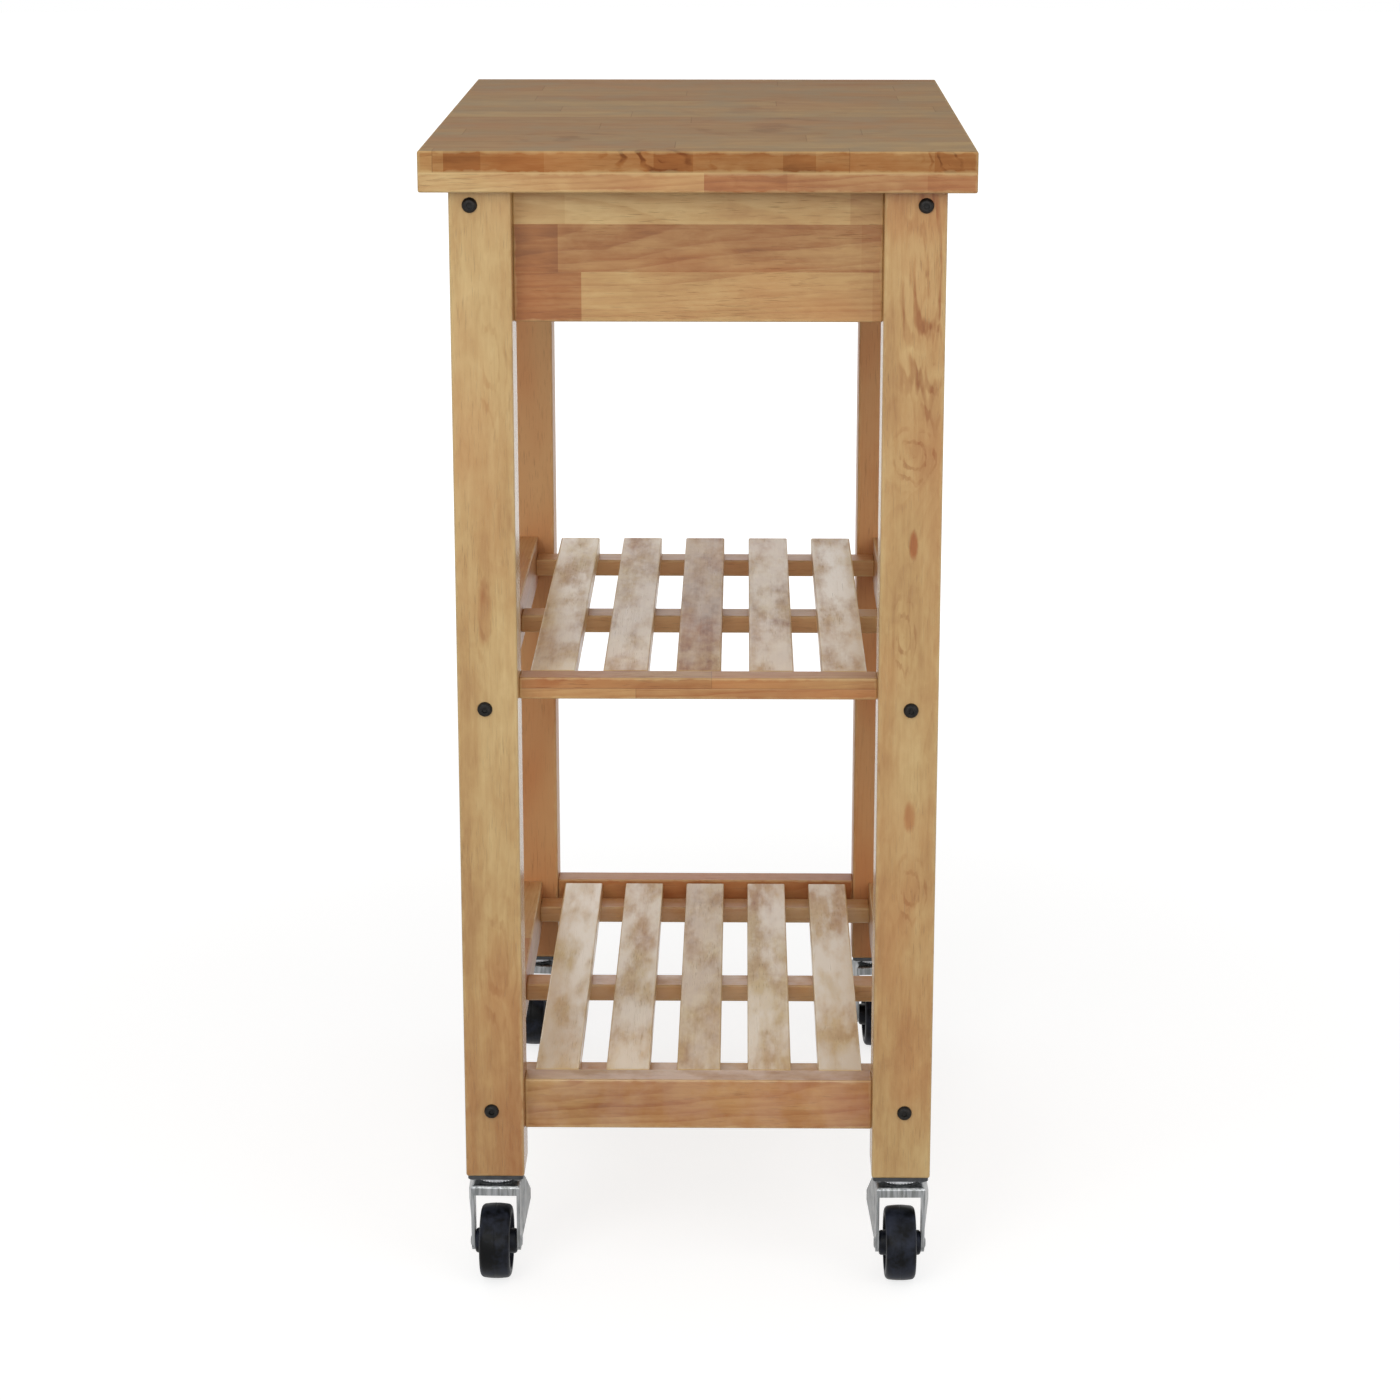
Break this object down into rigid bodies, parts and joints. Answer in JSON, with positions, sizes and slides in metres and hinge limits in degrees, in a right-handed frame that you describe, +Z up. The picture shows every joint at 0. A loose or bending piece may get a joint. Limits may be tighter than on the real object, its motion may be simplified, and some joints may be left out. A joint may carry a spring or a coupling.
{
  "type": "kitchen trolley",
  "caption": "Wooden kitchen trolley with a thick rectangular worktop, square legs, two open slatted shelves and swivel casters.",
  "frame": {"origin": "on the floor under the middle of the worktop", "axes": "+X to the right across the trolley and +Y along it, seen from the end with the front rail; +Z up"},
  "size_m": [0.39, 0.5776, 0.855],
  "materials": {
    "top_wood": "satin lacquer over glued-up staves",
    "frame_wood": "satin lacquer",
    "slat_wood": "satin lacquer",
    "dowel_wood": "bare, fluted beech",
    "black_steel": "black oxide, semi-gloss",
    "zinc_steel": "bright zinc plate",
    "black_plastic": "moulded, satin"
  },
  "bodies": {
    "trolley": {"top_board": "top_wood", "top_strip_near": "top_wood", "top_strip_far": "top_wood", "top_strip_left": "top_wood", "top_strip_right": "top_wood", "leg_near_left": "frame_wood", "leg_near_right": "frame_wood", "leg_far_left": "frame_wood", "leg_far_right": "frame_wood", "apron_left": "frame_wood", "apron_right": "frame_wood", "apron_near": "frame_wood", "apron_far": "frame_wood", "upper_side_rail_left": "frame_wood", "upper_side_rail_right": "frame_wood", "lower_side_rail_left": "frame_wood", "lower_side_rail_right": "frame_wood", "lower_end_rail_near": "frame_wood", "lower_end_rail_far": "frame_wood", "upper_front_rail": "frame_wood", "upper_bar_near": "frame_wood", "upper_bar_middle": "frame_wood", "upper_bar_far": "frame_wood", "upper_slat_1": "slat_wood", "upper_slat_2": "slat_wood", "upper_slat_3": "slat_wood", "upper_slat_4": "slat_wood", "upper_slat_5": "slat_wood", "lower_bar_near": "frame_wood", "lower_bar_middle": "frame_wood", "lower_bar_far": "frame_wood", "lower_slat_1": "slat_wood", "lower_slat_2": "slat_wood", "lower_slat_3": "slat_wood", "lower_slat_4": "slat_wood", "lower_slat_5": "slat_wood", "frame_bolts": "black_steel", "barrel_nuts": "zinc_steel", "dowels": "dowel_wood", "slat_screws": "zinc_steel", "caster_screws": "zinc_steel", "top_brackets": "zinc_steel", "bracket_screws": "zinc_steel", "caster_plate_near_left": "zinc_steel", "caster_plate_near_right": "zinc_steel", "caster_plate_far_left": "zinc_steel", "caster_plate_far_right": "zinc_steel"},
    "swivel_near_left": {"caster_fork_near_left": "zinc_steel", "caster_axle_near_left": "zinc_steel"},
    "wheel_near_left": {"caster_wheel_near_left": "black_plastic"},
    "swivel_near_right": {"caster_fork_near_right": "zinc_steel", "caster_axle_near_right": "zinc_steel"},
    "wheel_near_right": {"caster_wheel_near_right": "black_plastic"},
    "swivel_far_left": {"caster_fork_far_left": "zinc_steel", "caster_axle_far_left": "zinc_steel"},
    "wheel_far_left": {"caster_wheel_far_left": "black_plastic"},
    "swivel_far_right": {"caster_fork_far_right": "zinc_steel", "caster_axle_far_right": "zinc_steel"},
    "wheel_far_right": {"caster_wheel_far_right": "black_plastic"}
  },
  "joints": [
    {"name": "swivel_near_left", "type": "hinge", "parent": "trolley", "child": "swivel_near_left", "pos_m": [-0.153, -0.25, 0.076], "axis": [0, 0, 1], "continuous": true},
    {"name": "roll_near_left", "type": "hinge", "parent": "swivel_near_left", "child": "wheel_near_left", "pos_m": [-0.15324, -0.264, 0.0285], "axis": [0.9998, -0.0175, 0], "continuous": true},
    {"name": "swivel_near_right", "type": "hinge", "parent": "trolley", "child": "swivel_near_right", "pos_m": [0.153, -0.25, 0.076], "axis": [0, 0, 1], "continuous": true},
    {"name": "roll_near_right", "type": "hinge", "parent": "swivel_near_right", "child": "wheel_near_right", "pos_m": [0.15324, -0.264, 0.0285], "axis": [0.9998, 0.0175, 0], "continuous": true},
    {"name": "swivel_far_left", "type": "hinge", "parent": "trolley", "child": "swivel_far_left", "pos_m": [-0.153, 0.25, 0.076], "axis": [0, 0, 1], "continuous": true},
    {"name": "roll_far_left", "type": "hinge", "parent": "swivel_far_left", "child": "wheel_far_left", "pos_m": [-0.15373, 0.23602, 0.0285], "axis": [0.9986, -0.0523, 0], "continuous": true},
    {"name": "swivel_far_right", "type": "hinge", "parent": "trolley", "child": "swivel_far_right", "pos_m": [0.153, 0.25, 0.076], "axis": [0, 0, 1], "continuous": true},
    {"name": "roll_far_right", "type": "hinge", "parent": "swivel_far_right", "child": "wheel_far_right", "pos_m": [0.15373, 0.23602, 0.0285], "axis": [0.9986, 0.0523, 0], "continuous": true}
  ]
}
